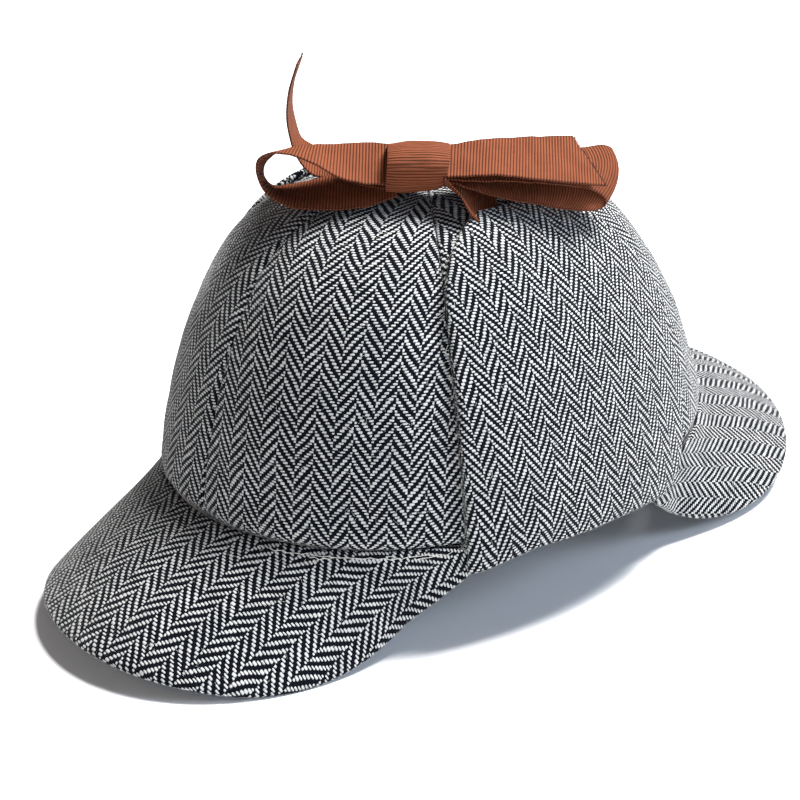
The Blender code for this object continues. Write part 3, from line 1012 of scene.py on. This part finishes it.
def knot_rows():
    """Ribbon wound once round the bow's middle, from under it up the back, over and down the front."""
    bow = bpy.context.scene.hat_bow
    run, face = bow_directions()
    tilt = math.radians(KNOT_TILT)
    deep = face * math.cos(tilt) - Vector((0.0, 0.0, math.sin(tilt)))
    tall = face * math.sin(tilt) + Vector((0.0, 0.0, math.cos(tilt)))
    centre = bow_centre() - Vector((0.0, 0.0, KNOT_DROP))
    depth = 0.5 * (bow.knot_depth - bow.thickness)
    height = 0.5 * (bow.knot_height - bow.thickness)
    girth = 2.0 * math.pi * 0.5 * (depth + height) * 1.1
    rim = 0.5 * bow.thickness
    rows = []
    travelled = 0.0
    last = None
    for along, along_full, _ in grid_lines(KNOT_CELLS[1], rim / girth):
        angle = math.radians(-90.0 - 359.0 * along)
        right = math.copysign(abs(math.cos(angle)) ** KNOT_SQUARENESS, math.cos(angle))
        up = math.copysign(abs(math.sin(angle)) ** KNOT_SQUARENESS, math.sin(angle))
        middle = centre + deep * (depth * right) + tall * (height * up)
        travelled += (middle - last).length if last else 0.0
        last = middle
        row = []
        for across, full, laid in grid_lines(KNOT_CELLS[0], rim / bow.knot_length):
            edge = across - 0.5
            pinch = 1.0 - KNOT_PINCH * (2.0 * abs(edge)) ** 2.5
            lengthwise = bow.knot_length * edge * (1.0 + 0.05 * up) + KNOT_LEAN * up - KNOT_SHIFT
            swell = KNOT_SWELL * noise.noise(Vector((3.0 * edge, 5.0 * right, 5.0 * up)))
            high = height if up > 0.0 else height * (0.90 - 0.27 * (edge + 0.5))
            point = centre + run * lengthwise
            point += deep * ((depth * pinch + swell) * right) + tall * ((high * pinch + swell) * up)
            row.append((point, full * along_full, (bow.knot_length * (laid - 0.5), travelled)))
        rows.append(row)
    return rows


def loose_fibre(name, code):
    """Material of single fibres in one colour."""
    return node_material(name, lambda tree: fibre_surface(tree, code))


def make_strands(name, strands, radius, material):
    """Fine round strands through lists of points, as one mesh."""
    curve = bpy.data.curves.new(name, "CURVE")
    curve.dimensions = "3D"
    curve.bevel_depth = radius
    curve.bevel_resolution = 0
    curve.use_fill_caps = True
    for points in strands:
        spline = curve.splines.new("POLY")
        spline.points.add(len(points) - 1)
        above_floor = [(point.x, point.y, max(point.z, 2.0 * radius)) for point in points]
        spline.points.foreach_set("co", [value for place in above_floor for value in (*place, 1.0)])
    bpy.ops.object.select_all(action="DESELECT")
    piece = bpy.data.objects.new(name, curve)
    bpy.context.collection.objects.link(piece)
    piece.select_set(True)
    bpy.context.view_layer.objects.active = piece
    bpy.ops.object.convert(target="MESH")
    piece = bpy.context.object
    piece.data.materials.clear()
    piece.data.materials.append(material)
    bpy.ops.object.shade_smooth()
    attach(piece, "root")
    return piece


def cloth_places(names, count, chance):
    """Random places and normals on the outer side of the cloth pieces, spread by area."""
    places = []
    middle = crown_origin() + Vector((0.0, 0.0, bpy.context.scene.hat_crown.edge_height))
    for name in names:
        mesh = bpy.data.objects[f"{name}_cloth"].data
        faces = [face for face in mesh.polygons if face.normal.dot(face.center - middle) > 0.0]
        for face in chance.choices(faces, weights=[face.area for face in faces], k=count):
            corners = [mesh.vertices[index].co for index in face.vertices]
            shares = [chance.random() for _ in corners]
            place = sum((corner * share for corner, share in zip(corners, shares)), Vector()) / sum(shares)
            places.append((place, face.normal.copy()))
    return places


def hair(place, normal, length, lift, chance):
    """A fibre that leaves the cloth, arches over it and curls. It starts just inside the cloth."""
    along = normal.cross(Vector([chance.uniform(-1.0, 1.0) for _ in range(3)])).normalized()
    aside = normal.cross(along)
    curl = chance.uniform(-0.5, 0.5) * length
    points = []
    for step in range(HAIR_STEPS + 1):
        share = step / HAIR_STEPS
        rise = lift * math.sin(2.2 * share) - 0.1 * MM * (1.0 - share)
        points.append(place + along * (length * share) + aside * (curl * share * share) + normal * rise)
    return points


def hairs_on(names, count, chance):
    """Fibres of many lengths over the cloth pieces."""
    return [
        hair(place, normal, chance.uniform(0.6, 2.4) * MM, chance.uniform(0.1, 0.8) * MM, chance)
        for place, normal in cloth_places(names, count, chance)
    ]


def edge_hairs(count, chance):
    """Fibres that hang out along the front edge of the ear flap on the wearer's left."""
    brim = bpy.context.scene.hat_brim
    proud = brim.flap_gap + 0.6 * brim.flap_thickness
    origin = crown_origin()
    strands = []
    for _ in range(count):
        share = chance.random()
        turn = math.radians(outline_at(share)[0] - 0.6)
        place = crown_point(turn, FLAP_REACH * share, proud)
        length = chance.uniform(0.8, 3.0) * MM
        lift = chance.uniform(0.2, 0.9) * MM
        strands.append([point + origin for point in hair(place, outward(turn), length, lift, chance)])
    return strands


def cut_end_threads(name, count, chance):
    """Short threads that stick out of a tail's cut end."""
    half, table = RIBBON_PIECES[name]
    shift = RIBBON_SKEWS[name][:2]
    centre = bow_centre()
    origin = crown_origin()
    strands = []
    for _ in range(count):
        edge = chance.uniform(-0.5, 0.5)
        start = ribbon_point(centre, half, table, 1.0, edge, shift)
        along = (start - ribbon_point(centre, half, table, 0.97, edge, shift)).normalized()
        sway = Vector([chance.uniform(-0.4, 0.4) for _ in range(3)])
        length = chance.uniform(0.2, 1.0) * MM
        strands.append([
            start + origin + (along + sway * share) * (length * share) - along * (0.3 * MM * (1.0 - share))
            for share in (0.0, 0.35, 0.7, 1.0)])
    return strands


def seam_threads(chance):
    """Pale threads frayed out of the seam, lying along the front peak just below the crown."""
    origin = crown_origin()
    strands = []
    for start, end, drop in FRAYED_THREADS:
        points = []
        steps = max(int((end - start) / 1.2), 4)
        sway = chance.uniform(0.0, 50.0)
        for step in range(steps + 1):
            turn = math.radians(lerp(start, end, step / steps))
            sideways = drop + 0.8 * MM * noise.noise(Vector((sway, 0.7 * step, 0.0)))
            place = crown_point(turn, 0.0) + outward(turn) * sideways
            place.z += 0.25 * MM * noise.noise(Vector((sway, step, 9.0))) - 0.60 * sideways
            points.append(place + origin)
        strands.append(points)
    return strands


class HAT_OT_loose_fibres(bpy.types.Operator):
    """Hairs on the cloth, frayed threads at the front seam and frayed ribbon ends"""
    bl_idname = "hat.loose_fibres"
    bl_label = "Loose fibres"

    def execute(self, context):
        chance = random.Random(7)
        pale = loose_fibre("pale_loose_wool", "#E4E1DA")
        dark = loose_fibre("dark_loose_wool", "#23262E")
        panels = [f"crown_panel_{index + 1}" for index in range(PANEL_COUNT)]
        others = ["left_ear_flap", "right_ear_flap", "front_peak", "rear_peak"]
        for name, material, count in (
                ("pale_hairs", pale, PALE_HAIRS_ON_PIECE), ("dark_hairs", dark, DARK_HAIRS_ON_PIECE)):
            strands = hairs_on(panels + others, count, chance) + edge_hairs(HAIRS_ON_EDGES, chance)
            make_strands(name, strands, HAIR_RADIUS, material)
        threads = seam_threads(chance)
        make_strands("frayed_seam_threads", threads, SEAM_THREAD_RADIUS, pale)
        # The frayed ends are real threads; their dark brown, darker than the ribbon, also paints the shade
        # along the tails' cut ends
        brown = loose_fibre("loose_rayon", "#43241A")
        ends = []
        for tail, count in END_THREADS.items():
            ends += cut_end_threads(tail, count, chance)
        make_strands("frayed_ribbon_ends", ends, END_THREAD_RADIUS, brown)
        return {"FINISHED"}


class HAT_OT_studio(bpy.types.Operator):
    """Camera, lamps and floor"""
    bl_idname = "hat.studio"
    bl_label = "Studio"

    def execute(self, context):
        studio = context.scene.hat_studio
        turn, rise = studio.azimuth, studio.elevation
        right = Vector((math.cos(turn), math.sin(turn), 0.0))
        back = Vector((math.sin(turn) * math.cos(rise), -math.cos(turn) * math.cos(rise), math.sin(rise)))
        up = back.cross(right)
        aim = crown_origin() + right * AIM_RIGHT + up * AIM_UP + Vector((0.0, 0.0, AIM_HEIGHT))
        bpy.ops.object.camera_add(location=aim + back * studio.distance)
        camera = context.object
        camera.name = "photo_camera"
        camera.rotation_euler = back.to_track_quat("Z", "Y").to_euler()
        camera.data.lens = studio.lens
        camera.data.sensor_width = SENSOR_WIDTH
        camera.data.clip_start = 10.0 * MM
        context.scene.camera = camera

        bpy.ops.mesh.primitive_plane_add(size=FLOOR_SIZE, location=(0.0, 0.0, 0.0))
        floor = context.object
        floor.name = "studio_floor"
        floor.data.materials.append(node_material("matt_paper", paper_surface))

        world = bpy.data.worlds.new("studio_air")
        world.use_nodes = True
        air = world.node_tree.nodes["Background"].inputs
        air["Color"].default_value = linear("#FFFFFF")
        air["Strength"].default_value = AIR_STRENGTH
        context.scene.world = world
        context.scene.view_settings.view_transform = "Standard"

        for name, (aside, above, behind), size, power, colour in LAMPS:
            place = aim + right * aside + up * above + back * behind
            bpy.ops.object.light_add(type="AREA", location=place)
            lamp = context.object
            lamp.name = name
            lamp.rotation_euler = (place - aim).to_track_quat("Z", "Y").to_euler()
            lamp.data.size = size
            lamp.data.energy = power
            lamp.data.color = linear(colour)[:3]
        return {"FINISHED"}


class HAT_OT_crown(bpy.types.Operator):
    """Six gores of the crown"""
    bl_idname = "hat.crown"
    bl_label = "Crown"

    def execute(self, context):
        wool = node_material("herringbone_wool", wool_surface)
        for index in range(PANEL_COUNT):
            name = f"crown_panel_{index + 1}"
            make_sheet(name, panel_rows(index), context.scene.hat_crown.wall, wool)
        return {"FINISHED"}


class HAT_OT_peaks(bpy.types.Operator):
    """Front and rear peak"""
    bl_idname = "hat.peaks"
    bl_label = "Peaks"

    def execute(self, context):
        wool = node_material("herringbone_wool", wool_surface)
        for name, shape in PEAKS.items():
            rows = peak_rows(shape, name == "rear_peak")
            make_sheet(name, rows, context.scene.hat_brim.peak_thickness, wool)
        return {"FINISHED"}


class HAT_OT_ear_flaps(bpy.types.Operator):
    """Ear flaps, folded up against the crown"""
    bl_idname = "hat.ear_flaps"
    bl_label = "Ear flaps"

    def execute(self, context):
        thickness = context.scene.hat_brim.flap_thickness
        wool = node_material("herringbone_wool", wool_surface)
        rows = flap_rows()
        make_sheet("left_ear_flap", rows, thickness, wool)
        make_sheet("right_ear_flap", mirrored(rows), thickness, wool)
        return {"FINISHED"}


class HAT_OT_bow(bpy.types.Operator):
    """Knot, loops and tails of the bow, and the ties under it"""
    bl_idname = "hat.bow"
    bl_label = "Bow"

    def execute(self, context):
        thickness = context.scene.hat_bow.thickness
        ribbon = node_material("grosgrain_rayon", rayon_surface)
        for name in RIBBON_PIECES:
            make_sheet(name, ribbon_rows(name), thickness, ribbon, middle=True)
        make_sheet("bow_knot", knot_rows(), thickness, ribbon, middle=True)
        make_sheet("left_tie", tie_rows(1), thickness, ribbon, middle=True)
        make_sheet("right_tie", tie_rows(-1), thickness, ribbon, middle=True)
        return {"FINISHED"}


class HAT_PT_panel(bpy.types.Panel):
    """Sizes, colours and steps of the hat"""
    bl_idname = "HAT_PT_panel"
    bl_label = "Deerstalker Hat"
    bl_space_type = "VIEW_3D"
    bl_region_type = "UI"
    bl_category = "Hat"

    def draw(self, context):
        for group in SETTINGS:
            settings = getattr(context.scene, group)
            box = self.layout.box()
            for name in settings.__annotations__:
                box.prop(settings, name)
        for step in STEPS:
            self.layout.operator(step.bl_idname)


SETTINGS = {
    "hat_crown": CrownSettings,
    "hat_brim": BrimSettings,
    "hat_bow": BowSettings,
    "hat_cloth": ClothSettings,
    "hat_studio": StudioSettings,
}
STEPS = (HAT_OT_studio, HAT_OT_crown, HAT_OT_peaks, HAT_OT_ear_flaps, HAT_OT_bow, HAT_OT_loose_fibres)


def register():
    for name, settings in SETTINGS.items():
        bpy.utils.register_class(settings)
        setattr(bpy.types.Scene, name, bpy.props.PointerProperty(type=settings))
    for step in STEPS:
        bpy.utils.register_class(step)
    bpy.utils.register_class(HAT_PT_panel)


def unregister():
    bpy.utils.unregister_class(HAT_PT_panel)
    for step in reversed(STEPS):
        bpy.utils.unregister_class(step)
    for name, settings in SETTINGS.items():
        delattr(bpy.types.Scene, name)
        bpy.utils.unregister_class(settings)


def main():
    """Register the add-on and run its steps in order."""
    register()
    bpy.ops.hat.studio()
    bpy.ops.hat.crown()
    bpy.ops.hat.peaks()
    bpy.ops.hat.ear_flaps()
    bpy.ops.hat.bow()
    bpy.ops.hat.loose_fibres()


if __name__ == "__main__":
    main()
